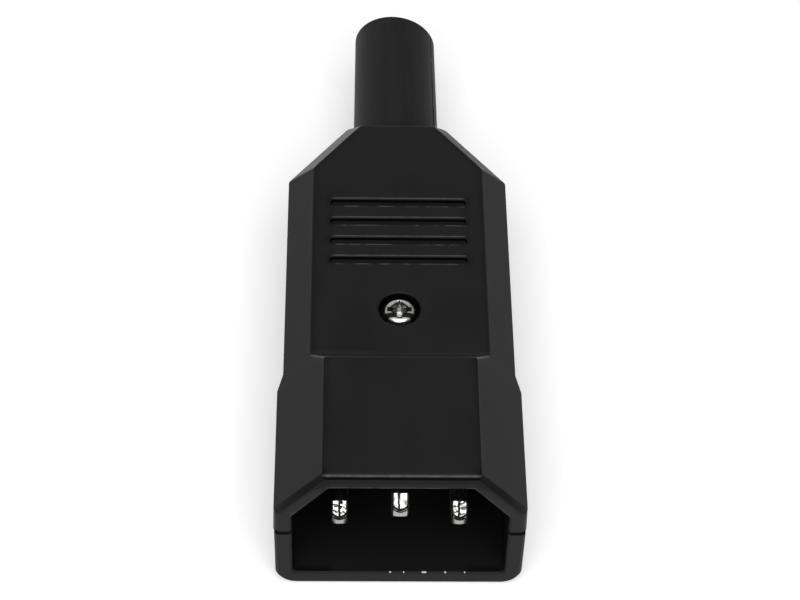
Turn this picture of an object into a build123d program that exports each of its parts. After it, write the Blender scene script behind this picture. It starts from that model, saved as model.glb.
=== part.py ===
import os
from math import atan2, cos, degrees, radians, sin, tan

from build123d import *

os.makedirs("parts", exist_ok=True)

# Recess that the matching connector enters
recess_width = 25.0
recess_height = 17.0
recess_flat = 16.2  # roof between the two slanted corners
recess_slant_drop = 5.7
floor_setback = 1.9  # recess floor in front of the step behind the shroud

# Housing
wall = 2.1
shroud_flat = 17.85  # top of the shroud between its slanted corners
shroud_slant_drop = 6.85
shroud_length = 17.4  # mouth to the step behind the shroud
body_length = 60.2  # mouth to the rear face
rear_taper = 9.6  # length of the narrowing rear end
side_step = 0.66  # the rear body is this much narrower than the shroud on each side
flare_length = 2.0  # the shroud runs in to the rear body over this length
flare_rounding = 0.5  # upper edges of that slope
flare_spare = 0.5  # the flare goes on this far inside the rear body
panel_drop = 2.1  # the rear panel lies this much below the shroud's top
seam_height = 10.4
bevel_run = 3.24  # slanted band round the rear panel, in line with the shroud's slants
bevel_drop = 3.98
draft = 1.5  # degrees
seam_step = 0.1  # the lower half stands back this much at the seam
seam_bevel = 0.3
underside_rounding = 2.5
mouth_rounding = 0.9  # outer edge of the upper half's mouth
lower_mouth_bevel = 0.3
panel_edge = 0.3  # rounding of the panel's rim
corner_rounding = 0.9  # rear corners of the upper half
recess_rounding = 0.7  # lower corners of the recess
lead_in = 0.25  # bevel round the mouth of the recess

# Grip grooves in the rear panel
grip_count = 4
grip_pitch = 3.15
grip_length = 16.8
grip_width = 0.95
grip_depth = 0.65
grip_rim = 0.2  # bevel of the grooves' rims and of the screw hole's
grip_first = 34.2  # mouth to the nearest groove

# Screw that holds the two halves together
boss_room = 5.1  # between the pin carrier's plate and the screw's boss
case_hole = 5.0
case_head = 3.7
case_head_height = 1.5
case_head_sink = 0.05  # below the panel
case_shank = 2.6
case_shank_length = 12.5
case_boss = 6.4
pilot_spare = 0.6  # hole left below a screw's end
cross_length = 2.9
cross_width = 0.75
cross_depth = 0.9

# Pins, folded from strip
pin_pitch = 14.0
pin_width = 2.0
pin_height = 4.0
earth_rise = 4.0
pin_setback = 2.9  # tips behind the mouth
earth_lead = 1.7
tip_bevel = 1.5
tip_bow = 0.45  # the nose is rounded this far back
pin_edge = 0.35  # rounding of the long edges
fold_slit = 0.12  # line between the two layers
fold_depth = 0.3
blade_tail = 2.0  # blade behind the carrier's plate
tab_width = 6.0
tab_thickness = 1.0
strap_ring = 10.2  # earth strap round the screw's boss

# Pin carrier
carrier_plate = 2.6
carrier_reach = 20.3  # base block behind the plate
carrier_margin = 0.3  # base block to the cavity walls
tower_width = 8.4
tower_margin = 0.4  # tower to the tabs beside it

# Terminal screws
terminal_shank = 3.0
terminal_shank_length = 4.0
terminal_head = 5.2
terminal_head_height = 1.8
terminal_setback = 4.6  # rear end of the tab to the screw
driver_slot = 0.7
driver_slot_depth = 0.8

# Cord clamp
clamp_margin = 1.25  # ends of the bar to the cavity walls
clamp_depth = 5.0
clamp_thickness = 2.0
clamp_rise = 1.5  # seat of the bar above the seam
clamp_post = 5.6
clamp_shank = 2.6
clamp_shank_length = 9.0
clamp_head = 4.4
clamp_head_height = 1.6
cord_diameter = 7.0
cord_room = 0.35  # between the cord and the clamp's arches
saddle_drop = 1.5  # top of the lower arch below the seam

# Cord boot
boot_diameter = 11.2
boot_end_diameter = 10.8
boot_projection = 21.5
boot_rim = 0.5  # bevel of the end's rim
boot_end_skew = 5.5  # degrees, the end is cut a little out of square
parting_angle = 26.0  # degrees, mould line on the boot's right side, above its middle
parting_width = 0.2
parting_depth = 0.13  # at the housing; the line runs out along the boot's taper
boot_bore = 7.2
boot_collar = 14.0
boot_collar_length = 2.2
rear_land = 0.75  # rear face beyond the boot on each side
neck_length = 4.4  # wall behind the collar
web_length = 1.6  # wall in front of the collar

# Screws
head_rim = 0.5  # straight share of a pan head's height
screw_point = 0.16  # bevel at a shank's end, as a share of its diameter

# Fits
carrier_gap = 0.1
pin_gap = 0.05
screw_gap = 0.05
boot_gap = 0.05
lip_gap = 0.1
boss_gap = 0.1

# Tongue of the lower half in the upper half
lip_width = 0.8
lip_height = 1.0
lip_length = 18.0
lip_end = 3.0  # from the tongue to the cavity's rear wall

# Derived places
total_length = body_length + boot_projection
mouth_y = -total_length / 2
step_y = mouth_y + shroud_length
floor_y = step_y - floor_setback
carrier_y = floor_y + carrier_plate
rear_y = mouth_y + body_length
corner_y = rear_y - rear_taper
screw_y = carrier_y + boss_room + case_boss / 2
boot_end_y = rear_y + boot_projection
collar_y = rear_y - neck_length - boot_collar_length
cavity_end_y = collar_y - web_length
shroud_width = recess_width + 2 * wall
shroud_height = recess_height + 2 * wall
body_width = shroud_width - 2 * side_step
body_height = shroud_height - panel_drop
rear_width = boot_diameter + 2 * rear_land
bevel_low = body_height - bevel_drop
bevel_angle = degrees(atan2(bevel_run, bevel_drop))
draft_shift = (bevel_low - seam_height) * tan(radians(draft))
panel_half = body_width / 2 - draft_shift - bevel_run
pin_bottom = wall + recess_height / 2 - earth_rise / 2 - pin_height / 2
earth_bottom = pin_bottom + earth_rise
strap_bottom = earth_bottom + pin_height - tab_thickness
carrier_end_y = carrier_y + carrier_reach
clamp_y = (carrier_end_y + cavity_end_y) / 2
terminal_y = carrier_end_y - terminal_setback
tab_x = tower_width / 2 + tower_margin + tab_width / 2
tower_y = screw_y + strap_ring / 2
head_seat = body_height - case_head_sink - case_head_height
cavity_half = body_width / 2 - wall
clamp_spacing = 2 * (cavity_half - clamp_margin) - clamp_post
lip_y = cavity_end_y - lip_end - lip_length / 2
clamp_seat = seam_height + clamp_rise
arch_radius = cord_diameter / 2 + cord_room
flare_angle = degrees(atan2(side_step, flare_length))
slot_width = pin_width + 2 * pin_gap
slot_height = pin_height + 2 * pin_gap
terminal_hole = terminal_shank / 2 + screw_gap
terminal_depth = terminal_shank_length - tab_thickness + pilot_spare
line_seat = pin_bottom + tab_thickness
earth_seat = strap_bottom + tab_thickness
skew = radians(boot_end_skew)
skew_reach = (boot_end_diameter / 2 - boot_rim) * tan(skew)


def across(y):
    # Plane across the plug at a given y, with sketch x to the right and sketch y up
    return Plane.XZ.offset(-y)


def recess_profile(grow):
    # Outline of the recess, grown outwards by a wall or inwards by a gap
    half = recess_width / 2
    flat = recess_flat / 2
    roof = wall + recess_height
    slant = roof - recess_slant_drop
    corners = [(-half, wall), (half, wall), (half, slant), (flat, roof), (-flat, roof), (-half, slant)]
    with BuildSketch() as profile:
        with BuildLine():
            Polyline(*corners, close=True)
        make_face()
        offset(amount=grow, kind=Kind.INTERSECTION)
    return profile.sketch


def upper_profile(share):
    # Outline above the seam: the shroud's at share 0, the rear body's at share 1
    slant = shroud_height - shroud_slant_drop
    slant_half = shroud_width / 2 - (slant - seam_height) * tan(radians(draft))
    shroud = [(shroud_width / 2, seam_height), (slant_half, slant), (shroud_flat / 2, shroud_height)]
    body = [(body_width / 2, seam_height), (panel_half + bevel_run, bevel_low), (panel_half, body_height)]
    right = [(x + share * (u - x), z + share * (v - z)) for (x, z), (u, v) in zip(shroud, body)]
    left = [(-x, z) for x, z in reversed(right)]
    with BuildSketch() as profile:
        with BuildLine():
            Polyline(*right, *left, close=True)
        make_face()
    return profile.sketch


def lower_profile():
    # Outline of the shroud below the seam, set back a little, with rounded lower corners
    with BuildSketch() as profile:
        Rectangle(shroud_width - 2 * seam_step, seam_height, align=(Align.CENTER, Align.MIN))
        fillet(profile.vertices().group_by(Axis.Y)[0], radius=underside_rounding)
    return profile.sketch


def upper_shroud():
    # Shroud above the seam, with a rounded slope down to the rear body behind it
    with BuildPart() as form:
        with BuildSketch(across(mouth_y)):
            add(upper_profile(0))
        extrude(amount=-shroud_length)
        with BuildSketch(across(step_y)):
            add(upper_profile(0))
        with BuildSketch(across(step_y + flare_length + flare_spare)):
            add(upper_profile(1 + flare_spare / flare_length))
        loft(ruled=True)
        slope = form.faces().filter_by(lambda f: f.center().Y > step_y).sort_by(Axis.Z)[-1]
        fillet(slope.edges().sort_by(Axis.Y)[:-1], radius=flare_rounding)
    return form.part


def rear_outline(inset):
    # Plan of the rear body at the seam, drawn a little forward of the step
    half = body_width / 2
    rear_half = rear_width / 2
    front = step_y - 2 * bevel_run
    corners = [(half, front), (half, corner_y), (rear_half, rear_y)]
    corners += [(-rear_half, rear_y), (-half, corner_y), (-half, front)]
    with BuildSketch() as outline:
        with BuildLine():
            Polyline(*corners, close=True)
        make_face()
        offset(amount=-inset, kind=Kind.INTERSECTION)
    return outline.sketch


def upper_rear(plan, inset, front):
    # Drafted wall with the slanted band above it, cut square at its front
    low = bevel_low - inset * tan(radians(bevel_angle / 2))
    with BuildPart() as form:
        with BuildSketch(Plane.XY.offset(seam_height)):
            add(plan)
        extrude(amount=low - seam_height, taper=draft)
        extrude(form.faces().sort_by(Axis.Z)[-1], amount=body_height - inset - low, taper=bevel_angle)
        split(bisect_by=across(front), keep=Keep.BOTTOM)
    return form.part


def upper_cavity():
    # Room above the seam, from the pin carrier to the web in front of the boot's collar
    with BuildPart() as form:
        add(upper_rear(rear_outline(wall), wall, carrier_y))
        split(bisect_by=across(cavity_end_y), keep=Keep.TOP)
    return form.part


def lower_cavity():
    # Room below the seam
    with BuildPart() as form:
        with BuildSketch(Plane.XY.offset(wall)):
            add(rear_outline(wall))
        extrude(amount=seam_height - wall)
        split(bisect_by=across(carrier_y), keep=Keep.BOTTOM)
        split(bisect_by=across(cavity_end_y), keep=Keep.TOP)
    return form.part


def recess_room():
    # Recess with rounded lower corners and a bevelled mouth
    with BuildPart() as form:
        with BuildSketch(across(mouth_y)) as mouth:
            add(recess_profile(0))
            fillet(mouth.vertices().group_by(Axis.Y)[0], radius=recess_rounding)
        extrude(amount=-(carrier_y - mouth_y))
        with BuildSketch(across(mouth_y)) as rim:
            add(mouth.sketch_local)
            offset(amount=lead_in, kind=Kind.INTERSECTION)
        extrude(amount=-lead_in, taper=45)
    return form.part


def boot_seat():
    # Turned form of the passage, the collar's groove and the neck, on the boot's axis
    passage = arch_radius
    groove = boot_collar / 2 + boot_gap
    neck = boot_diameter / 2 + boot_gap
    groove_end = rear_y - neck_length
    with BuildPart() as form:
        with BuildSketch(Plane.XY.offset(seam_height)):
            with BuildLine():
                Polyline(
                    (0, cavity_end_y - wall),
                    (passage, cavity_end_y - wall),
                    (passage, collar_y),
                    (groove, collar_y),
                    (groove, groove_end),
                    (neck, groove_end),
                    (neck, rear_y + wall),
                    (0, rear_y + wall),
                    close=True,
                )
            make_face()
        revolve(axis=Axis((0, 0, seam_height), (0, 1, 0)))
    return form.part


def pan_screw(head, head_height, shank, shank_length):
    # Turned screw with a domed head, its seat at the origin, head up
    rim = head_rim * head_height
    point = screw_point * shank
    with BuildPart() as screw:
        with BuildSketch(Plane.XZ):
            with BuildLine():
                Polyline(
                    (0, head_height),
                    (0, -shank_length),
                    (shank / 2 - point, -shank_length),
                    (shank / 2, -shank_length + point),
                    (shank / 2, 0),
                    (head / 2, 0),
                    (head / 2, rim),
                )
                EllipticalCenterArc((0, rim), head / 2, head_height - rim, start_angle=0, arc_size=90)
            make_face()
        revolve(axis=Axis.Z)
    return screw.part


def slotted_screw(head, head_height, shank, shank_length):
    # Cheese head screw with a driver slot, its seat at the origin, head up
    with BuildPart() as screw:
        Cylinder(head / 2, head_height, align=(Align.CENTER, Align.CENTER, Align.MIN))
        Cylinder(shank / 2, shank_length, align=(Align.CENTER, Align.CENTER, Align.MAX))
        with BuildSketch(Plane.XY.offset(head_height)):
            Rectangle(head, driver_slot)
        extrude(amount=-driver_slot_depth, mode=Mode.SUBTRACT)
    return screw.part


def folded_blade(x, bottom, tip, rear):
    # Strip folded back on itself at a bowed nose, with bevelled tip corners and rounded edges
    half = pin_width / 2
    top = bottom + pin_height
    with BuildPart() as blade:
        with BuildSketch(Plane.YZ.offset(x - half)) as side:
            with BuildLine():
                Polyline(
                    (rear, bottom),
                    (tip + tip_bevel, bottom),
                    (tip, bottom + tip_bevel),
                    (tip, top - tip_bevel),
                    (tip + tip_bevel, top),
                    (rear, top),
                    close=True,
                )
            make_face()
        extrude(amount=pin_width)
        long_edges = blade.faces().filter_by(Axis.X).edges()
        long_edges = long_edges.filter_by(lambda e: tip < e.center().Y < rear)
        fillet(long_edges, radius=pin_edge)
        with BuildSketch(Plane.XY.offset(bottom)):
            with BuildLine():
                sides = Polyline(
                    (x + half, tip + tip_bow),
                    (x + half, rear),
                    (x - half, rear),
                    (x - half, tip + tip_bow),
                )
                ThreePointArc(sides @ 1, (x, tip), sides @ 0)
            make_face()
        extrude(amount=pin_height, mode=Mode.INTERSECT)
        with BuildSketch(Plane.YZ.offset(x - fold_slit / 2)):
            add(side.sketch_local)
            offset(side.sketch_local, amount=-fold_depth, kind=Kind.INTERSECTION, mode=Mode.SUBTRACT)
            with Locations((tip + half, bottom)):
                Rectangle(half, pin_height, align=(Align.MAX, Align.MIN), mode=Mode.SUBTRACT)
        extrude(amount=fold_slit, mode=Mode.SUBTRACT)
    return blade.part


# Upper half of the housing
with BuildPart() as upper_shell:
    add(upper_rear(rear_outline(0), 0, step_y))
    rear_edges = upper_shell.edges().filter_by(lambda e: e.center().Y > corner_y - bevel_run)
    fillet(rear_edges.filter_by(lambda e: e.bounding_box().size.Z > panel_edge), radius=corner_rounding)
    fillet(upper_shell.faces().sort_by(Axis.Z)[-1].edges(), radius=panel_edge)
    add(upper_shroud())
    mouth_edges = upper_shell.faces().sort_by(Axis.Y)[0].edges()
    fillet(mouth_edges.filter_by(lambda e: e.center().Z > seam_height + seam_bevel), radius=mouth_rounding)
    add(recess_room(), mode=Mode.SUBTRACT)
    add(upper_cavity(), mode=Mode.SUBTRACT)
    with BuildSketch(Plane.XY.offset(seam_height)):
        with Locations((0, screw_y)):
            Circle(case_boss / 2)
    extrude(amount=body_height - wall - seam_height)
    with Locations((0, screw_y, body_height)):
        CounterBoreHole(
            radius=case_shank / 2 + screw_gap,
            counter_bore_radius=case_hole / 2,
            counter_bore_depth=body_height - head_seat,
        )
    with BuildSketch(Plane.XY.offset(body_height)):
        for groove in range(grip_count):
            with Locations((0, mouth_y + grip_first + groove * grip_pitch)):
                SlotOverall(grip_length, grip_width)
    extrude(amount=-grip_depth, mode=Mode.SUBTRACT)
    panel = upper_shell.faces().sort_by(lambda face: len(face.inner_wires()))[-1]
    chamfer(panel.inner_wires().edges(), length=grip_rim)
    with BuildSketch(Plane.XY.offset(seam_height)):
        with Locations((0, lip_y)):
            with GridLocations(2 * cavity_half + lip_width + lip_gap, 0, 2, 1):
                Rectangle(lip_width + lip_gap, lip_length + 2 * lip_gap)
    extrude(amount=lip_height + lip_gap, mode=Mode.SUBTRACT)
    add(boot_seat(), mode=Mode.SUBTRACT)
upper_shell.part.label = "upper_shell"
export_step(upper_shell.part, "parts/upper_shell.step")

# Lower half of the housing, with its flat underside
with BuildPart() as lower_shell:
    with BuildSketch() as plan:
        add(rear_outline(seam_step))
        rear_corners = plan.vertices().filter_by(lambda v: v.Y > step_y)
        fillet(rear_corners, radius=underside_rounding + seam_step)
    extrude(amount=seam_height)
    rear_edges = lower_shell.faces().sort_by(Axis.Z)[0].edges()
    fillet(rear_edges.filter_by(lambda e: e.center().Y > step_y - bevel_run), radius=underside_rounding)
    split(bisect_by=across(step_y), keep=Keep.BOTTOM)
    with BuildSketch(across(mouth_y)):
        add(lower_profile())
    extrude(amount=-shroud_length)
    with BuildSketch(across(step_y)):
        add(lower_profile())
    extrude(amount=-(flare_length + flare_spare), taper=flare_angle)
    front_edges = lower_shell.faces().sort_by(Axis.Y)[0].edges()
    front_edges = front_edges.filter_by(lambda e: e.center().Z < seam_height - seam_bevel)
    chamfer(front_edges, length=lower_mouth_bevel)
    chamfer(lower_shell.faces().sort_by(Axis.Z)[-1].edges(), length=seam_bevel)
    add(recess_room(), mode=Mode.SUBTRACT)
    add(lower_cavity(), mode=Mode.SUBTRACT)
    with BuildSketch(Plane.XY.offset(wall)):
        with Locations((0, screw_y)):
            Circle(case_boss / 2)
    extrude(amount=seam_height - wall)
    with BuildSketch(Plane.XY.offset(wall)):
        with Locations((0, clamp_y)):
            Rectangle(clamp_spacing, clamp_depth)
    extrude(amount=seam_height - saddle_drop - wall)
    with BuildSketch(across(clamp_y)):
        with Locations((0, seam_height)):
            Circle(arch_radius)
    extrude(amount=clamp_depth, both=True, mode=Mode.SUBTRACT)
    with BuildSketch(Plane.XY.offset(wall)):
        with Locations((0, clamp_y)):
            with GridLocations(clamp_spacing, 0, 2, 1):
                Circle(clamp_post / 2)
    extrude(amount=clamp_seat - wall)
    with Locations((0, screw_y, seam_height)):
        Hole(case_shank / 2 + screw_gap, depth=seam_height - head_seat + case_shank_length + pilot_spare)
    with Locations((0, clamp_y, clamp_seat)):
        with GridLocations(clamp_spacing, 0, 2, 1):
            Hole(clamp_shank / 2 + screw_gap, depth=clamp_shank_length - clamp_thickness + pilot_spare)
    with BuildSketch(Plane.XY.offset(seam_height)):
        with Locations((0, lip_y)):
            with GridLocations(2 * cavity_half + lip_width, 0, 2, 1):
                Rectangle(lip_width, lip_length)
    extrude(amount=lip_height)
    add(boot_seat(), mode=Mode.SUBTRACT)
lower_shell.part.label = "lower_shell"
export_step(lower_shell.part, "parts/lower_shell.step")

# Insulating carrier: plate at the floor of the recess, terminal base and raised earth terminal
with BuildPart() as pin_carrier:
    with BuildSketch(across(floor_y)) as plate:
        add(recess_profile(-carrier_gap))
        fillet(plate.vertices().group_by(Axis.Y)[0], radius=recess_rounding)
    extrude(amount=-carrier_plate)
    with BuildSketch(Plane.XY.offset(wall + carrier_gap)):
        with Locations((0, carrier_y)):
            Rectangle(
                2 * (cavity_half - carrier_margin),
                carrier_reach,
                align=(Align.CENTER, Align.MIN),
            )
    extrude(amount=pin_bottom - wall - carrier_gap)
    with BuildSketch(Plane.XY.offset(wall + carrier_gap)):
        with Locations((0, tower_y)):
            Rectangle(tower_width, carrier_end_y - tower_y, align=(Align.CENTER, Align.MIN))
    extrude(amount=strap_bottom - wall - carrier_gap)
    with Locations((0, screw_y, pin_bottom)):
        Hole(case_boss / 2 + boss_gap)
    with BuildSketch(across(floor_y)):
        with Locations((0, pin_bottom + pin_height / 2)):
            with GridLocations(pin_pitch, 0, 2, 1):
                Rectangle(slot_width, slot_height)
        with Locations((0, earth_bottom + pin_height / 2)):
            Rectangle(slot_width, slot_height)
    extrude(amount=-carrier_plate, mode=Mode.SUBTRACT)
    with Locations((-tab_x, terminal_y, pin_bottom), (tab_x, terminal_y, pin_bottom)):
        Hole(terminal_hole, depth=terminal_depth)
    with Locations((0, terminal_y, strap_bottom)):
        Hole(terminal_hole, depth=terminal_depth)
pin_carrier.part.label = "pin_carrier"
export_step(pin_carrier.part, "parts/pin_carrier.step")

# Line pins: blade with a screw tab bent from its lower edge
with BuildPart() as neutral_pin:
    add(folded_blade(pin_pitch / 2, pin_bottom, mouth_y + pin_setback, carrier_y + blade_tail))
    with BuildSketch(Plane.XY.offset(pin_bottom)):
        with Locations((tab_x, carrier_y + pin_gap)):
            Rectangle(tab_width, carrier_reach - pin_gap, align=(Align.CENTER, Align.MIN))
        with Locations((tab_x, terminal_y)):
            Circle(terminal_hole, mode=Mode.SUBTRACT)
    extrude(amount=tab_thickness)
neutral_pin.part.label = "neutral_pin"
export_step(neutral_pin.part, "parts/neutral_pin.step")

with BuildPart() as live_pin:
    mirror(neutral_pin.part, about=Plane.YZ)
live_pin.part.label = "live_pin"
export_step(live_pin.part, "parts/live_pin.step")

# Earth pin: longer blade with a strap from its upper edge round the screw's boss
with BuildPart() as earth_pin:
    add(folded_blade(0, earth_bottom, mouth_y + pin_setback - earth_lead, carrier_y + blade_tail))
    with BuildSketch(Plane.XY.offset(strap_bottom)):
        with Locations((0, carrier_y + pin_gap)):
            Rectangle(tab_width, carrier_reach - pin_gap, align=(Align.CENTER, Align.MIN))
        with Locations((0, screw_y)):
            Circle(strap_ring / 2)
            Circle(case_boss / 2 + boss_gap, mode=Mode.SUBTRACT)
        with Locations((0, terminal_y)):
            Circle(terminal_hole, mode=Mode.SUBTRACT)
    extrude(amount=tab_thickness)
earth_pin.part.label = "earth_pin"
export_step(earth_pin.part, "parts/earth_pin.step")

# Terminal screws
with BuildPart() as terminal_screws:
    screw = slotted_screw(terminal_head, terminal_head_height, terminal_shank, terminal_shank_length)
    with Locations((-tab_x, terminal_y, line_seat), (tab_x, terminal_y, line_seat)):
        add(screw)
    with Locations((0, terminal_y, earth_seat)):
        add(screw)
terminal_screws.part.label = "terminal_screws"
export_step(terminal_screws.part, "parts/terminal_screws.step")

# Cord clamp: arched bar on the two posts
with BuildPart() as cord_clamp:
    with BuildSketch(across(clamp_y)):
        with Locations((0, seam_height)):
            Circle(arch_radius + clamp_thickness)
        with Locations((0, clamp_seat)):
            Rectangle(2 * body_width, 2 * body_height, align=(Align.CENTER, Align.MAX), mode=Mode.SUBTRACT)
            Rectangle(clamp_spacing + clamp_post, clamp_thickness, align=(Align.CENTER, Align.MIN))
        with Locations((0, seam_height)):
            Circle(arch_radius, mode=Mode.SUBTRACT)
    extrude(amount=clamp_depth / 2, both=True)
    with Locations((0, clamp_y, clamp_seat + clamp_thickness)):
        with GridLocations(clamp_spacing, 0, 2, 1):
            Hole(clamp_shank / 2 + screw_gap)
cord_clamp.part.label = "cord_clamp"
export_step(cord_clamp.part, "parts/cord_clamp.step")

with BuildPart() as cord_clamp_screws:
    screw = slotted_screw(clamp_head, clamp_head_height, clamp_shank, clamp_shank_length)
    with Locations((0, clamp_y, clamp_seat + clamp_thickness)):
        with GridLocations(clamp_spacing, 0, 2, 1):
            add(screw)
cord_clamp_screws.part.label = "cord_clamp_screws"
export_step(cord_clamp_screws.part, "parts/cord_clamp_screws.step")

# Case screw with a cross recess
with BuildPart() as case_screw:
    with Locations((0, screw_y, head_seat)):
        add(pan_screw(case_head, case_head_height, case_shank, case_shank_length))
    with BuildSketch(Plane.XY.offset(head_seat + case_head_height)):
        with Locations((0, screw_y)):
            Rectangle(cross_length, cross_width)
            Rectangle(cross_width, cross_length)
    extrude(amount=-cross_depth, mode=Mode.SUBTRACT)
case_screw.part.label = "case_screw"
export_step(case_screw.part, "parts/case_screw.step")

# Rubber boot with its collar caught between the halves
with BuildPart() as cord_boot:
    with BuildSketch(Plane.XY.offset(seam_height)):
        with BuildLine():
            Polyline(
                (boot_bore / 2, collar_y),
                (boot_collar / 2, collar_y),
                (boot_collar / 2, collar_y + boot_collar_length),
                (boot_diameter / 2, collar_y + boot_collar_length),
                (boot_diameter / 2, rear_y),
                (boot_end_diameter / 2, boot_end_y),
                (boot_end_diameter / 2, boot_end_y + wall),
                (boot_bore / 2, boot_end_y + wall),
                close=True,
            )
        make_face()
    revolve(axis=Axis((0, 0, seam_height), (0, 1, 0)))
    end_middle = (0, boot_end_y - skew_reach, seam_height)
    end_plane = Plane(end_middle, x_dir=(0, 0, 1), z_dir=(sin(skew), cos(skew), 0))
    split(bisect_by=end_plane, keep=Keep.BOTTOM)
    chamfer(cord_boot.faces().sort_by(Axis.Y)[-1].outer_wire().edges(), length=boot_rim)
    with BuildSketch(across(rear_y)):
        with Locations((0, seam_height)):
            with PolarLocations(boot_diameter / 2, 1, start_angle=parting_angle):
                Rectangle(2 * parting_depth, parting_width)
    extrude(amount=-boot_projection, mode=Mode.SUBTRACT)
cord_boot.part.label = "cord_boot"
export_step(cord_boot.part, "parts/cord_boot.step")
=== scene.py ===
import math

import bpy
import numpy as np
from mathutils import Matrix, Vector


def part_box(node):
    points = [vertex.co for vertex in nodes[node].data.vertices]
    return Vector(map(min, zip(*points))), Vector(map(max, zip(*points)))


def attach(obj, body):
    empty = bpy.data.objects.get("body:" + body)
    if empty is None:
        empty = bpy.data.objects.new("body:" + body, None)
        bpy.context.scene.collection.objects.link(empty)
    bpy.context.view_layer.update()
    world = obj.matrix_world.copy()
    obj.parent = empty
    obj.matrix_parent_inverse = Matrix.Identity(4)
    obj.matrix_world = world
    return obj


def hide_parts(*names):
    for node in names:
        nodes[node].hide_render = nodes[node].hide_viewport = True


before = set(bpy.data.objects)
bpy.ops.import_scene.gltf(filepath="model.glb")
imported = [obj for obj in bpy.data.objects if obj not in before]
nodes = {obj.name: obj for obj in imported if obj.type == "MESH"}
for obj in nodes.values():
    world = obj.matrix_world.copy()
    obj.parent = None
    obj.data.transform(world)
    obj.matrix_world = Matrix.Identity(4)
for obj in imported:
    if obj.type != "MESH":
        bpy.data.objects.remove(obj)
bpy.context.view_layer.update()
print("plug: frame loaded with", len(nodes), "solids")


class Flow:
    # One socket of a node tree: + - * / and abs on it add Math nodes
    def __init__(self, tree, socket=None):
        self.tree = tree
        self.socket = socket

    def add(self, kind, settings=None, sockets=None, out=0):
        # Any other node: its settings first, then the values or links of its sockets
        node = self.tree.nodes.new(kind)
        for name, value in (settings or {}).items():
            setattr(node, name, value)
        for key, value in (sockets or {}).items():
            if isinstance(value, Flow):
                self.tree.links.new(value.socket, node.inputs[key])
            else:
                node.inputs[key].default_value = value
        return Flow(self.tree, node.outputs[out] if len(node.outputs) else None)

    def math(self, operation, *values):
        return self.add("ShaderNodeMath", {"operation": operation}, dict(enumerate(values)))

    def __add__(self, other):
        return self.math("ADD", self, other)

    def __radd__(self, other):
        return self.math("ADD", other, self)

    def __sub__(self, other):
        return self.math("SUBTRACT", self, other)

    def __rsub__(self, other):
        return self.math("SUBTRACT", other, self)

    def __mul__(self, other):
        return self.math("MULTIPLY", self, other)

    def __rmul__(self, other):
        return self.math("MULTIPLY", other, self)

    def __truediv__(self, other):
        return self.math("DIVIDE", self, other)

    def __abs__(self):
        return self.math("ABSOLUTE", self)

    def most(self, other):
        return self.math("MAXIMUM", self, other)

    def ramp(self, low, high):
        # Smooth 0 to 1 between two values
        sockets = {"Value": self, "From Min": low, "From Max": high}
        return self.add("ShaderNodeMapRange", {"interpolation_type": "SMOOTHSTEP"}, sockets)

    def inside(self, low, high, soft):
        # 1 between two values, 0 outside them, with soft ends
        return self.ramp(low - soft, low) * (1 - self.ramp(high, high + soft))

    def blend(self, low, high):
        # Colour between two others, with this socket as the share of the second
        return self.add("ShaderNodeMix", {"data_type": "RGBA"}, {0: self, 6: low, 7: high}, 2)

    def noise(self, scale, detail=2.0, roughness=0.5):
        sockets = {"Vector": self, "Scale": scale, "Detail": detail, "Roughness": roughness}
        return self.add("ShaderNodeTexNoise", None, sockets)

    def streaks(self, scales, detail=2.0, roughness=0.5):
        # Noise with its own scale along each axis
        stretched = self.add("ShaderNodeMapping", None, {"Vector": self, "Scale": scales})
        return stretched.noise(1, detail, roughness)

    def bump(self, strength, distance):
        sockets = {"Height": self, "Strength": strength, "Distance": distance}
        return self.add("ShaderNodeBump", None, sockets)

    def axes(self):
        # The three parts of this vector
        node = self.add("ShaderNodeSeparateXYZ", None, {0: self}).socket.node
        return [Flow(self.tree, socket) for socket in node.outputs]

    def vector(self, operation, *values):
        # A Vector Math node, with its number where the operation gives one
        out = "Value" if operation in ("DOT_PRODUCT", "LENGTH") else "Vector"
        return self.add("ShaderNodeVectorMath", {"operation": operation}, dict(enumerate(values)), out)

    def normal(self):
        return self.add("ShaderNodeNewGeometry", out="Normal")

    def edges(self, reach, samples=8):
        # Above 0 on outer edges, where lines into the solid soon come out again
        settings = {"inside": True, "only_local": True, "samples": samples}
        return 1 - self.add("ShaderNodeAmbientOcclusion", settings, {"Distance": reach}, "AO")

    def near(self, spot, size, fade=(0.7, 1.0)):
        # 1 within an ellipsoid of given half sizes round a spot, with a soft outer part
        away = self.vector("DIVIDE", self.vector("SUBTRACT", self, spot), size)
        return 1 - self.vector("LENGTH", away).ramp(*fade)


def openMaterial(name):
    material = bpy.data.materials.new(name)
    material.use_nodes = True
    material.node_tree.nodes.clear()
    flow = Flow(material.node_tree)
    return material, flow, flow.add("ShaderNodeTexCoord", out="Object")


def closeMaterial(flow, sockets):
    shader = flow.add("ShaderNodeBsdfPrincipled", None, sockets)
    flow.add("ShaderNodeOutputMaterial", None, {"Surface": shader})


def dress(material, *names):
    # A CAD solid takes its finish through its material slots
    for name in names:
        slots = nodes[name].data.materials
        slots.clear()
        slots.append(material)


screwLow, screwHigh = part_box("case_screw")
screwAxis = ((screwLow.x + screwHigh.x) / 2, (screwLow.y + screwHigh.y) / 2, screwHigh.z)

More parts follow.
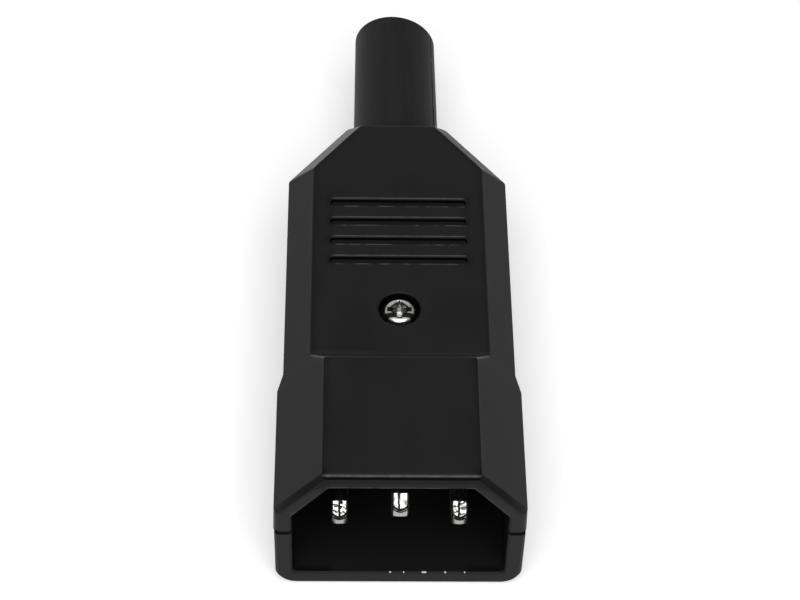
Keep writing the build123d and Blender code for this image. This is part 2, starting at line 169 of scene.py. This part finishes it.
# Black moulded plastic of the two halves: fine grain from the tool, cloudy gloss, flow streaks.
# Lengths in metres. A mask's two numbers are where it starts and is full, its three are ends and softness.
# A noise has scale, detail and roughness, and a bump has strength and distance.
shellLook = {
    "dark": (0.0100, 0.0100, 0.0103, 1),
    "pale": (0.0128, 0.0128, 0.0131, 1),
    "recess": (0.0054, 0.0054, 0.0056, 1),  # painted shade on the walls round the pins
    "shadow": (0.0010, 0.0010, 0.0010, 1),  # joint, grooves, creases, wall round the case screw
    "rim": (0.055, 0.055, 0.055, 1),  # painted highlight on the rims of the grooves, broken up by noise
    "stepHighlight": (0.0200, 0.0200, 0.0203, 1),
    "lipHighlight": (0.040, 0.040, 0.040, 1),  # painted highlight along the rim of the recess
    "chipped": (0.50, 0.50, 0.49, 1),
    # Surface
    "grain": (5200, 2, 0.6),
    "bump": (0.25, 0.00002),
    "cloud": (110, 3, 0.6),
    "cloudShare": 0.6,
    "streak": (260, 40, 260),
    "streakShare": 0.4,
    "rearTone": 0.3,  # the rear is a little paler
    "rearFrom": (0.002, 0.016),
    "toneRange": (0.3, 0.7),
    "gloss": 0.54,
    "glossSpread": 0.10,
    "grainGloss": 0.05,
    "darkGloss": 0.4,  # the joint and the front's rounding are duller by this
    "specular": 0.11,
    # Which way a face looks
    "flat": (0.9, 0.97),
    "face": (0.93, 0.98),
    "slanted": (0.1, 0.3),
    "sides": (-0.1, 0.1),
    "high": (0.0120, 0.0180),  # upper part of the plug, where the edges are polished
    # Recess, joint and well of the case screw
    "recessMiddle": (0, 0, 0.0106),
    "recessFacing": (-0.004, -0.002),
    "recessReach": (-0.0405, -0.0240, 0.0002),
    "joint": (0.0101, 0.0107, 0.00006),
    "well": (0.00252, 0.00262),
    "wellRim": (0.0028, 0.0031),
    # Grooves: their reach along the three axes, their floors and their worn rims
    "grooveReach": ((-0.0088, 0.0088, 0.00006), (-0.0076, 0.0038, 0.00006), (0.0182, 0.01895, 0.00006)),
    "grooveFloor": (0.0185, 0.0186),
    "floorLift": 0.75,
    "groovePitch": 0.00315,
    "grooveFirst": -0.00665,
    "rimLength": (0, 0.0082, 0.0003),
    "rimHeight": (0.01893, 0.0192, 0.00003),
    # streaks that break up the painted highlight on the rims and the polish of the front edge
    "wearAndHighlight": (700, 300, 700),
    "wearAndHighlightRange": (0.35, 0.6),
    "farRim": (0.00062, 0.00069, 0.00003),
    "farLeast": 0.55,
    "nearRim": (-0.00084, -0.00070, 0.00004),
    "nearBreak": (0.42, 0.62),
    "nearShare": 0.8,
    # Front edge, step and creases
    "frontReach": (-0.0420, -0.0385, 0.0004),
    "frontBand": (0.0186, 0.0196),
    "underFront": (0.64, 0.84, 0.07),
    "underSlant": (0.25, 0.85, 0.12),
    "slantShare": 0.65,
    "frontWear": (0.36, 0.22),  # most gain and loss of the front edge's polish
    "frontEnds": (0.0082, 0.0087),  # the bright front edge fades out here, at the slants
    "endFade": 0.85,
    "stepFoot": (-0.0222, -0.0216, 0.0009),  # painted highlight: a paler strip of the panel behind the step
    "creaseFrom": (0.0075, 0.0085),
    "creases": ((0.08, 0.15, 0.4), (0.115, 0.155, 0.9)),  # start, full and share: one faint, one dark
    "rearEdges": (0.0095, 0.0148, 0.0006),
    # Rim of the recess: corner of its upper edge, direction across the slant, width
    "lipCorner": (0.00822, 0.01935),
    "lipSlant": (0.7917, 0.6111),
    "lipWidth": (0, 0.00014, 0.00004),
    "lipFrom": (0.0134, 0.0144),
    "lipGrain": 420,
    "lipBreak": (0.3, 0.6),
    # Chips on the mouth's lower edge: place and half width of each, half depth and half height of all
    "chips": ((-0.0010, 0.00022), (0.0006, 0.00015), (0.0030, 0.00062), (0.0055, 0.00024), (0.0078, 0.00015)),
    "chipLevel": 0.0021,
    "chipDepth": (0.00032, 0.00019),
    "chipGrain": 2600,
    "chipBreak": (0.6, 0.8),  # least share and spread
    "chipRange": (0.45, 0.75),
    # Polish of the edges, as a clear coat
    "edgeReach": 0.0014,
    "edgeRange": (0.05, 0.28),
    "edgePolish": 0.88,
    "coatGloss": 0.15,
    "rubbedFrom": (0.03, 0.18),  # turn of the surface to the front or rear
    "rubbedTo": (0.50, 0.66),
    "lengthShare": 0.1,  # polish of edges along the plug
    "lowShare": 0.2,
    "grooveFade": 0.55,
    "obliqueFacing": (0.574, -0.520, 0.630),  # aside, forward and up, of the glossy bands at the rear
    "obliqueRange": (0.97, 0.99),
    "obliquePolish": (0.22, 0.07),  # left and right
}


def shellPlastic(look):
    material, flow, place = openMaterial("shellPlastic")
    aside, along, level = place.axes()
    across = abs(aside)
    normal = flow.normal()
    sideways, backward, upward = normal.axes()
    tilt, turned, rise = abs(sideways), abs(backward), abs(upward)
    forward = backward * -1
    flat = rise.ramp(*look["flat"])
    face = forward.ramp(*look["face"])
    high = level.ramp(*look["high"])
    outer = flow.edges(look["edgeReach"])
    # Tone and gloss of the moulded surface
    grain = place.noise(*look["grain"])
    tone = place.noise(*look["cloud"]) * look["cloudShare"]
    tone = tone + place.streaks(look["streak"]) * look["streakShare"]
    tone = tone + look["rearTone"] * along.ramp(*look["rearFrom"])
    gloss = look["gloss"] + look["glossSpread"] * (tone - 0.5) + look["grainGloss"] * (grain - 0.5)
    shade = tone.ramp(*look["toneRange"]).blend(look["dark"], look["pale"])
    # Painted shade on the walls of the recess: they face the line along its middle
    apart = flow.vector("SUBTRACT", place, look["recessMiddle"])
    facing = flow.vector("DOT_PRODUCT", flow.vector("MULTIPLY", apart, (1, 0, 1)), normal)
    recess = (1 - facing.ramp(*look["recessFacing"])) * along.inside(*look["recessReach"])
    shade = recess.blend(shade, look["recess"])
    # Painted shade in the joint between the halves, in the well of the case screw and in the grooves, whose
    # floors are paler
    joint = level.inside(*look["joint"])
    apart = flow.vector("SUBTRACT", place, screwAxis)
    outward = flow.vector("LENGTH", flow.vector("MULTIPLY", apart, (1, 1, 0)))
    well = 1 - outward.ramp(*look["well"])
    within = [part.inside(*ends) for part, ends in zip((aside, along, level), look["grooveReach"])]
    groove = within[0] * within[1] * within[2]
    bottom = groove * (1 - level.ramp(*look["grooveFloor"]))
    groove = groove * (1 - look["floorLift"] * bottom * flat)
    shade = joint.most(well).most(groove).blend(shade, look["shadow"])
    # Painted highlight on the rims of the grooves: the distance from the nearest groove's middle repeats
    # along the panel
    turns = (along - look["grooveFirst"]) / look["groovePitch"] + 0.5
    offset = (flow.math("FRACT", turns) - 0.5) * look["groovePitch"]
    wearAndHighlight = place.streaks(look["wearAndHighlight"])
    patchy = wearAndHighlight.ramp(*look["wearAndHighlightRange"])
    far = offset.inside(*look["farRim"]) * (look["farLeast"] + (1 - look["farLeast"]) * patchy)
    close = offset.inside(*look["nearRim"]) * wearAndHighlight.ramp(*look["nearBreak"]) * look["nearShare"]
    length = across.inside(*look["rimLength"]) * within[1] * level.inside(*look["rimHeight"])
    shade = (far.most(close) * length).blend(shade, look["rim"])
    # Painted highlight: a paler strip of the panel behind the step
    foot = along.inside(*look["stepFoot"]) * flat * high
    shade = foot.blend(shade, look["stepHighlight"])
    # Painted shade: below the bright front edge the rounding is dark, less so on its slants; the creases and
    # the front's upper band are dark too
    front = along.inside(*look["frontReach"]) * high
    slanted = tilt.ramp(*look["slanted"])
    straight = forward.inside(*look["underFront"]) * (1 - slanted)
    sloping = forward.inside(*look["underSlant"]) * slanted * look["slantShare"]
    under = front * straight.most(sloping)
    oblique = along.inside(*look["rearEdges"])
    faint, strong = [outer.ramp(start, full) * share for start, full, share in look["creases"]]
    crease = faint.most(strong) * flat * across.ramp(*look["creaseFrom"]).most(oblique)
    band = face * level.ramp(*look["frontBand"])
    shade = under.most(crease).most(band).blend(shade, look["shadow"])
    # Painted highlight on the rim of the recess: a narrow strip outside its upper edges, broken up by noise
    side, top = look["lipCorner"]
    run, drop = look["lipSlant"]
    outside = ((across - side) * run + (level - top) * drop).most(level - top)
    lipHighlight = outside.inside(*look["lipWidth"]) * face * level.ramp(*look["lipFrom"])
    shade = (lipHighlight * place.noise(look["lipGrain"]).ramp(*look["lipBreak"])).blend(shade, look["lipHighlight"])
    # Chips: ellipsoids round their places, broken up by noise
    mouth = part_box("lower_shell")[0].y
    chips = 0
    for spot, width in look["chips"]:
        chips = place.near((spot, mouth, look["chipLevel"]), (width, *look["chipDepth"])).most(chips)
    least, spread = look["chipBreak"]
    chips = (chips * (least + spread * place.noise(look["chipGrain"]))).ramp(*look["chipRange"])
    # Edges across the plug are rubbed bright, those along it hardly, and low ones less
    rubbed = turned.ramp(*look["rubbedFrom"]) * (1 - turned.ramp(*look["rubbedTo"]))
    polish = outer.ramp(*look["edgeRange"])
    polish = polish * (look["lengthShare"] + (1 - look["lengthShare"]) * rubbed)
    polish = polish * (look["lowShare"] + (1 - look["lowShare"]) * high)
    polish = polish * (1 - recess.most(joint).most(groove).most(under)) * (1 - oblique)
    polish = polish * outward.ramp(*look["wellRim"])
    polish = polish * (1 - look["grooveFade"] * within[0] * within[1])
    # The front edge is worn unevenly, and fades out at its ends
    gain, loss = look["frontWear"]
    polish = polish * (1 + front * (gain * patchy - loss))
    polish = polish * (1 - look["endFade"] * front * across.ramp(*look["frontEnds"]))
    # Glossy oblique bands, found by the way they face
    parts = [part * share for part, share in zip((tilt, forward, rise), look["obliqueFacing"])]
    glossy = (parts[0] + parts[1] + parts[2]).ramp(*look["obliqueRange"])
    left, right = look["obliquePolish"]
    polish = polish.most(glossy * (left + (right - left) * sideways.ramp(*look["sides"])))
    closeMaterial(flow, {
        "Base Color": chips.blend(shade, look["chipped"]),
        "Roughness": gloss + look["darkGloss"] * joint.most(under),
        "Specular IOR Level": look["specular"],
        "Coat Weight": polish * look["edgePolish"],
        "Coat Roughness": look["coatGloss"],
        "Normal": grain.bump(*look["bump"]),
    })
    return material


dress(shellPlastic(shellLook), "upper_shell", "lower_shell")
print("plug: moulded halves finished")

# Plain black insulating plastic inside
insulatorLook = {
    "colour": (0.004, 0.004, 0.0042, 1),
    "gloss": 0.5,
    "glossSpread": 0.12,
    "specular": 0.35,
    "grain": 3800,
    "bump": (0.2, 0.00002),
}


def insulatorPlastic(look):
    material, flow, place = openMaterial("insulatorPlastic")
    grain = place.noise(look["grain"])
    closeMaterial(flow, {
        "Base Color": look["colour"],
        "Roughness": look["gloss"] + look["glossSpread"] * (grain - 0.5),
        "Specular IOR Level": look["specular"],
        "Normal": grain.bump(*look["bump"]),
    })
    return material


dress(insulatorPlastic(insulatorLook), "pin_carrier", "cord_clamp")

# Rubber of the boot: soft sheen, faint lengthwise wipe marks, a mould line on the right above the middle
bootLook = {
    "dark": (0.0135, 0.0135, 0.0137, 1),
    "pale": (0.0172, 0.0172, 0.0174, 1),
    "line": (0.0006, 0.0006, 0.0006, 1),
    "grain": (3000, 3, 0.65),
    "wipe": ((700, 60, 700), 3),
    "wipeRange": (0.35, 0.7),
    "wipeHeight": 0.6,  # next to the grain's
    "bump": (0.25, 0.00003),
    "gloss": 0.55,
    "wipeGloss": 0.14,
    "grainGloss": 0.06,
    "lineGloss": 0.25,
    "specular": 0.10,
    "axis": (0, 0, 0.0104),
    "lineAngle": math.radians(26),
    "lineWidth": (-0.00015, 0.00015, 0.00005),
    "lineFrom": (0.002, 0.003),  # to the right of the axis
    "lineGrain": 900,
    "lineBreak": (0.30, 0.55),
    "lineEnd": (0.3, 0.6),  # no line on the faces at the boot's ends
}


def bootRubber(look):
    material, flow, place = openMaterial("bootRubber")
    grain = place.noise(*look["grain"])
    wipe = place.streaks(*look["wipe"])
    # Mould line: a plane through the axis at an angle, on the right side only
    angle = look["lineAngle"]
    apart = flow.vector("SUBTRACT", place, look["axis"])
    off = flow.vector("DOT_PRODUCT", apart, (-math.sin(angle), 0, math.cos(angle)))
    line = off.inside(*look["lineWidth"]) * apart.axes()[0].ramp(*look["lineFrom"])
    line = line * place.noise(look["lineGrain"]).ramp(*look["lineBreak"])
    line = line * (1 - abs(flow.normal().axes()[1]).ramp(*look["lineEnd"]))
    plain = wipe.ramp(*look["wipeRange"]).blend(look["dark"], look["pale"])
    gloss = look["gloss"] + look["wipeGloss"] * (wipe - 0.5) + look["grainGloss"] * (grain - 0.5)
    closeMaterial(flow, {
        "Base Color": line.blend(plain, look["line"]),
        "Roughness": gloss + look["lineGloss"] * line,
        "Specular IOR Level": look["specular"],
        "Normal": (grain + wipe * look["wipeHeight"]).bump(*look["bump"]),
    })
    return material


dress(bootRubber(bootLook), "cord_boot")
print("plug: insulator and boot finished")

# Nickel plating of the pins: drawn lengthwise, dull patches from use, painted shade on the nose and in the
# fold and press marks at the tip
pinLook = {
    "bright": (0.74, 0.73, 0.70, 1),
    "dull": (0.22, 0.215, 0.205, 1),
    # painted shade: the nose at the tip is darker than the rest of the blade
    "nose": (0.42, 0.415, 0.40, 1),
    # painted shade in the fold, the press marks and along the edges of the nose
    "paintedShade": (0.012, 0.012, 0.012, 1),
    "drawn": ((5200, 160, 5200), 3, 0.6),
    "bump": (0.25, 0.00001),
    "patch": (1500, 3, 0.6),
    "patchRange": (0.48, 0.66),
    "gloss": 0.20,
    "drawnGloss": 0.14,
    "dullGloss": 0.16,
    "paintedShadeGloss": 0.3,
    "bevel": (0.0015, 0.0018),  # the tip's bevel ends this far back
    "noseDepth": (0.0005, 0.0006),
    "noseRise": (0.2, 0.5),
    "noseSide": (0.00074, 0.00088),  # dark edges of the nose, from its middle
    "noseTop": (0.00016, 0.00024),
    "noseBow": 260,  # its upper edge rises by this times the square of the distance from the middle
    "bow": 450,  # the nose lies back in the same way
    "bowRim": (0.00002, 0.00022, 0.00004),
    "uneven": (1900, 3, 0.6),
    "fold": (0.00010, 0.00018),
    "foldWander": 0.0004,
    "mark": (0.1, 0.3, 0.1),  # dark part of the spacing of press marks
    "markWander": 0.0009,
    "markShift": 0.00016,  # out of step on the two sides of the fold
    "shiftOver": (-0.0001, 0.0001),
    "side": (0.00070, 0.00086),
    "flank": (0.75, 0.95),  # the blade's flanks stay clean
    "upper": 0.0004,
    "blades": {  # middle and mid height of the blade, place of its fold, spacing and depth of press marks
        "live_pin": (-0.0070, 0.0086, -0.0070, 0.00050, 1.0),
        "neutral_pin": (0.0070, 0.0086, 0.0069, 0.00050, 1.0),
        "earth_pin": (0.0, 0.0126, -0.0002, 0.00090, 0.35),
    },
}


def pinNickel(look, name):
    material, flow, place = openMaterial("pinNickel_" + name)
    middle, level, foldPlace, spacing, depth = look["blades"][name]
    drawn = place.streaks(*look["drawn"])
    dull = place.noise(*look["patch"]).ramp(*look["patchRange"])
    uneven = place.noise(*look["uneven"]) - 0.5
    x, y, z = place.axes()
    tilt, rise = [abs(part) for part in flow.normal().axes()[::2]]
    aside = abs(x - middle)
    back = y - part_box(name)[0].y  # distance behind the tip
    tip = 1 - back.ramp(*look["bevel"])
    nose = (1 - rise.ramp(*look["noseRise"])) * (1 - back.ramp(*look["noseDepth"]))
    fold = 1 - abs(x - foldPlace + look["foldWander"] * uneven).ramp(*look["fold"])
    # Painted shade in the fold, in press marks across the bevel, and along the rims of the nose and of the
    # sides
    step = back + look["markWander"] * uneven
    step = step + look["markShift"] * (x - foldPlace).ramp(*look["shiftOver"])
    mark = flow.math("FRACT", step / spacing).inside(*look["mark"]) * depth
    rim = (back - look["bow"] * aside * aside).inside(*look["bowRim"])
    side = aside.ramp(*look["side"])
    paintedShade = fold.most(mark).most(rim).most(side) * (1 - nose)
    paintedShade = paintedShade * tip * (1 - tilt.ramp(*look["flank"])) * z.ramp(level, level + look["upper"])
    # Painted shade along the edges of the nose, bowed along its top
    bowed = z - level - look["noseBow"] * aside * aside
    edge = aside.ramp(*look["noseSide"]).most(bowed.ramp(*look["noseTop"]))
    paintedShade = paintedShade.most(nose * edge)
    patchy = nose.blend(dull.blend(look["bright"], look["dull"]), look["nose"])
    gloss = look["gloss"] + look["dullGloss"] * dull + look["paintedShadeGloss"] * paintedShade
    closeMaterial(flow, {
        "Base Color": paintedShade.blend(patchy, look["paintedShade"]),
        "Metallic": 1.0,
        "Roughness": gloss + look["drawnGloss"] * (drawn - 0.5),
        "Normal": drawn.bump(*look["bump"]),
    })
    return material


for name in pinLook["blades"]:
    dress(pinNickel(pinLook, name), name)

# Plated steel of the screws, with fine turning marks round the case screw's axis
screwLook = {
    "bright": (0.84, 0.83, 0.80, 1),
    "dull": (0.46, 0.45, 0.43, 1),
    "paintedShade": (0.025, 0.025, 0.025, 1),
    "patch": (900, 3, 0.6),
    "patchRange": (0.45, 0.75),
    "gloss": 0.32,
    "patchGloss": 0.18,
    "paintedShadeGloss": 0.2,
    "axis": screwAxis,
    "turn": 42000,
    "bump": (0.12, 0.00001),
    "star": (0, 0.00006, 0),  # middle of the painted shade in the cross recess
    "starReach": 0.00132,
    "starWidth": 0.9,
    "starEdge": (0.96, 1.04),  # in shares of its reach
    "starRim": (0.80, 1.0, 0.06),
    "starGrain": 2600,
    "starBreak": (0.78, 0.5, 0.4),  # middle share, spread and middle of the noise
    "armSpan": (0.0008184, 0.001452, 0.00006),
    "armHalf": (0.00030, 0.00039),
    "nearBand": (-0.00122, -0.00062, 0.00010),
    "bandReach": (0.0022, 0.0024),
    # painted highlight on the floor of the cross recess
    "floorHighlight": (0, -0.00026, -0.0009),
    "highlightSize": (0.00056, 0.00060, 0.0016),
}


def screwSteel(look):
    material, flow, place = openMaterial("screwSteel")
    middle = flow.vector("SUBTRACT", place, look["axis"])
    radius = flow.vector("LENGTH", flow.vector("MULTIPLY", middle, (1, 1, 0)))
    marks = flow.math("SINE", radius * look["turn"]) * 0.5 + 0.5
    patch = place.noise(*look["patch"]).ramp(*look["patchRange"])
    # Painted shade in the cross recess: a four pointed star, two arms and a band over the near half of the
    # head; a painted highlight on the recess floor, pale and not metallic
    points = flow.vector("SUBTRACT", middle, look["star"]).axes()[:2]
    aside, ahead = [abs(part) for part in points]
    span = (aside * look["starWidth"] + ahead) / look["starReach"]
    star = 1 - span.ramp(*look["starEdge"])
    rim = span.inside(*look["starRim"])
    arms = aside.inside(*look["armSpan"]) * (1 - ahead.ramp(*look["armHalf"]))
    band = points[1].inside(*look["nearBand"]) * (1 - radius.ramp(*look["bandReach"]))
    spot = middle.near(look["floorHighlight"], look["highlightSize"])
    share, spread, centre = look["starBreak"]
    broken = share + spread * (place.noise(look["starGrain"]) - centre)
    paintedShade = (star * broken).most(rim).most(arms).most(band) * (1 - spot)
    patchy = patch.blend(look["bright"], look["dull"])
    closeMaterial(flow, {
        "Base Color": paintedShade.blend(patchy, look["paintedShade"]),
        "Metallic": 1 - spot,
        "Roughness": look["gloss"] + look["patchGloss"] * patch + look["paintedShadeGloss"] * paintedShade,
        "Normal": marks.bump(*look["bump"]),
    })
    return material


screwFinish = screwSteel(screwLook)
dress(screwFinish, "case_screw", "terminal_screws", "cord_clamp_screws")
print("plug: pins and screws finished")

# Case screw in millimetres: pan head, cross recess, plain shank
headLook = {
    "radius": 1.85,
    "height": 1.5,
    "dome": 0.62,
    "flatness": 3.0,
    "chamfer": 0.03,
    "shank": 1.3,
    "neck": 0.02,
    "point": 0.4,
    "depth": 0.95,
    "reach": 1.35,
    "floorRise": 0.7,  # share of the depth that is lost at the arms' ends
    "armHalf": 0.34,
    "armTaper": 0.25,
    "wallWidth": 0.08,
    "endWidth": 0.12,
    "funnel": 0.34,
    "core": 1.30,
    "rings": 80,
    "turns": 200,
}


def recessDepth(x, y, look):
    # Two crossed arms whose floors rise outwards, in a shallow four sided funnel
    along, across = np.maximum(abs(x), abs(y)), np.minimum(abs(x), abs(y))
    out = along / look["reach"]
    floor = look["depth"] * (1 - look["floorRise"] * out)
    half = look["armHalf"] * (1 - look["armTaper"] * out)
    wall = np.clip((half - across) / look["wallWidth"] + 0.5, 0, 1)
    end = np.clip((look["reach"] - along) / look["endWidth"], 0, 1)
    funnel = look["funnel"] * np.clip(1 - (along + across) / look["core"], 0, 1)
    return np.maximum(floor * wall * end, funnel)


def screwHead(look, finish):
    # A profile turned round the axis: superellipse over the dome, straight rim, seat, shank and point
    arc = np.linspace(0, np.pi / 2, look["rings"])[1:]
    power = 2 / look["flatness"]
    length = (screwHigh.z - screwLow.z) * 1000
    shank, seat = look["shank"], -look["height"]
    under = [(look["radius"], seat + look["chamfer"]), (look["radius"] - look["chamfer"], seat),
             (shank, seat), (shank, seat - look["neck"]),
             (shank, look["point"] - length), (shank - look["point"], -length)]
    radius = np.append(look["radius"] * np.sin(arc) ** power, [r for r, z in under])
    dome = look["dome"] * (np.maximum(np.cos(arc), 0) ** power - 1)
    height = np.append(dome, [z for r, z in under])
    turn = np.linspace(0, 2 * np.pi, look["turns"], endpoint=False)
    x, y = radius[:, None] * np.cos(turn), radius[:, None] * np.sin(turn)
    top = np.arange(len(radius)) < len(arc)
    z = height[:, None] - recessDepth(x, y, look) * top[:, None]
    # A pole at each end closes the rings
    poles = np.array([(0, 0, -look["depth"]), (0, 0, -length)])
    points = np.concatenate([np.stack([x, y, z], 2).reshape(-1, 3), poles])
    points = points / 1000 + np.array(screwAxis)
    ring = np.arange(radius.size * turn.size).reshape(radius.size, turn.size)
    after = np.roll(ring, -1, 1)
    quads = np.stack([ring[:-1], ring[1:], after[1:], after[:-1]], 2).reshape(-1, 4)
    upper, lower = np.full(turn.size, ring.size), np.full(turn.size, ring.size + 1)
    topFan = np.stack([upper, ring[0], after[0]], 1)
    endFan = np.stack([ring[-1], lower, after[-1]], 1)
    mesh = bpy.data.meshes.new("caseScrew")
    mesh.from_pydata(points.tolist(), [], quads.tolist() + topFan.tolist() + endFan.tolist())
    mesh.polygons.foreach_set("use_smooth", np.ones(len(mesh.polygons), dtype=bool))
    mesh.materials.append(finish)
    screw = bpy.data.objects.new("caseScrew", mesh)
    bpy.context.scene.collection.objects.link(screw)
    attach(screw, "root")
    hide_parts("case_screw")


screwHead(headLook, screwFinish)
print("plug: case screw turned")

# Pale floor: matt white, lifted to paper white where it is looked at
floorLook = {
    "half": 3.0,
    "drop": 0.00005,
    "colour": (0.82, 0.82, 0.82, 1),
    "lift": 0.30,
    "farLift": 0.72,  # away from the soft box
    "far": (0.15, 0.9),
}


def paleFloor(look):
    half = look["half"]
    plan = ((-half, -half), (half, -half), (half, half), (-half, half))
    mesh = bpy.data.meshes.new("paleFloor")
    mesh.from_pydata([(x, y, -look["drop"]) for x, y in plan], [], [(0, 1, 2, 3)])
    floor = bpy.data.objects.new("paleFloor", mesh)
    bpy.context.scene.collection.objects.link(floor)
    material, flow, place = openMaterial("paleFloor")
    rays = ("Is Camera Ray", "Is Glossy Ray", "Is Transmission Ray")
    ray = [flow.add("ShaderNodeLightPath", out=name) for name in rays]
    seen = ray[0].most(ray[1]).most(ray[2])
    matt = flow.add("ShaderNodeBsdfDiffuse", None, {"Color": look["colour"]})
    away = flow.vector("LENGTH", place).ramp(*look["far"])
    lift = look["lift"] + (look["farLift"] - look["lift"]) * away
    glow = flow.add("ShaderNodeEmission", None, {"Strength": seen * lift})
    both = flow.add("ShaderNodeAddShader", None, {0: matt, 1: glow})
    flow.add("ShaderNodeOutputMaterial", None, {"Surface": both})
    mesh.materials.append(material)


paleFloor(floorLook)

# Studio: pale round the horizon, dimmer above, a white wall behind to the left, one large soft box in front
studioLook = {
    "horizon": (0.40, 0.40, 0.41, 1),
    "above": (0.30, 0.30, 0.305, 1),
    "aboveFrom": (0.05, 0.6),
    "wall": (1.0, 1.0, 1.0, 1),
    "wallToward": (-0.45, 0.89, 0),
    "wallFrom": (0.35, 0.9),
    "wallTop": (0.15, 0.5),
    "boxHeight": 58.0,  # degrees above the floor
    "boxDistance": 0.7,
    "boxSize": (0.60, 0.60),
    "boxPower": 4.6,
}


def studio(look):
    world = bpy.data.worlds.new("studio")
    bpy.context.scene.world = world
    world.use_nodes = True
    world.node_tree.nodes.clear()
    flow = Flow(world.node_tree)
    heading = flow.add("ShaderNodeTexCoord", out="Generated")
    rise = heading.axes()[2]
    tone = rise.ramp(*look["aboveFrom"]).blend(look["horizon"], look["above"])
    wall = flow.vector("DOT_PRODUCT", heading, look["wallToward"]).ramp(*look["wallFrom"])
    wall = wall * (1 - rise.ramp(*look["wallTop"]))
    tone = wall.blend(tone, look["wall"])
    sky = flow.add("ShaderNodeBackground", None, {"Color": tone})
    flow.add("ShaderNodeOutputWorld", None, {"Surface": sky})
    lamp = bpy.data.lights.new("softBox", "AREA")
    lamp.shape = "RECTANGLE"
    lamp.size, lamp.size_y = look["boxSize"]
    lamp.energy = look["boxPower"]
    box = bpy.data.objects.new("softBox", lamp)
    bpy.context.scene.collection.objects.link(box)
    height = math.radians(look["boxHeight"])
    away = Vector((0, -math.cos(height), math.sin(height)))
    box.location = away * look["boxDistance"]
    box.rotation_mode = "QUATERNION"
    box.rotation_quaternion = away.to_track_quat("Z", "Y")


studio(studioLook)

# Camera where the photograph was taken, angles in degrees, place in metres
cameraLook = {
    "pitch": 50.0646,
    "yaw": 1.9686,
    "roll": -1.8670,
    "place": (-0.0059011, -0.1868068, 0.2266933),
    "focal": 2257.16,  # in pixels
    "imageWidth": 800,
    "sensor": 36,
    "clip": 0.01,
}


def photoCamera(look):
    pitch, yaw, roll = (math.radians(look[key]) for key in ("pitch", "yaw", "roll"))
    flat = math.cos(pitch)
    ahead = Vector((math.sin(yaw) * flat, math.cos(yaw) * flat, -math.sin(pitch)))
    level = Vector((math.cos(yaw), -math.sin(yaw), 0))
    down = ahead.cross(level)
    right = level * math.cos(roll) + down * math.sin(roll)
    up = level * math.sin(roll) - down * math.cos(roll)
    data = bpy.data.cameras.new("photoCamera")
    data.sensor_fit = "HORIZONTAL"
    data.sensor_width = look["sensor"]
    data.lens = look["focal"] / look["imageWidth"] * look["sensor"]
    data.clip_start = look["clip"]
    camera = bpy.data.objects.new("photoCamera", data)
    bpy.context.scene.collection.objects.link(camera)
    turn = Matrix((right, up, -ahead)).transposed().to_4x4()
    camera.matrix_world = Matrix.Translation(Vector(look["place"])) @ turn
    bpy.context.scene.camera = camera


photoCamera(cameraLook)
bpy.context.scene.view_settings.view_transform = "Standard"
print("plug: floor, studio and camera set")
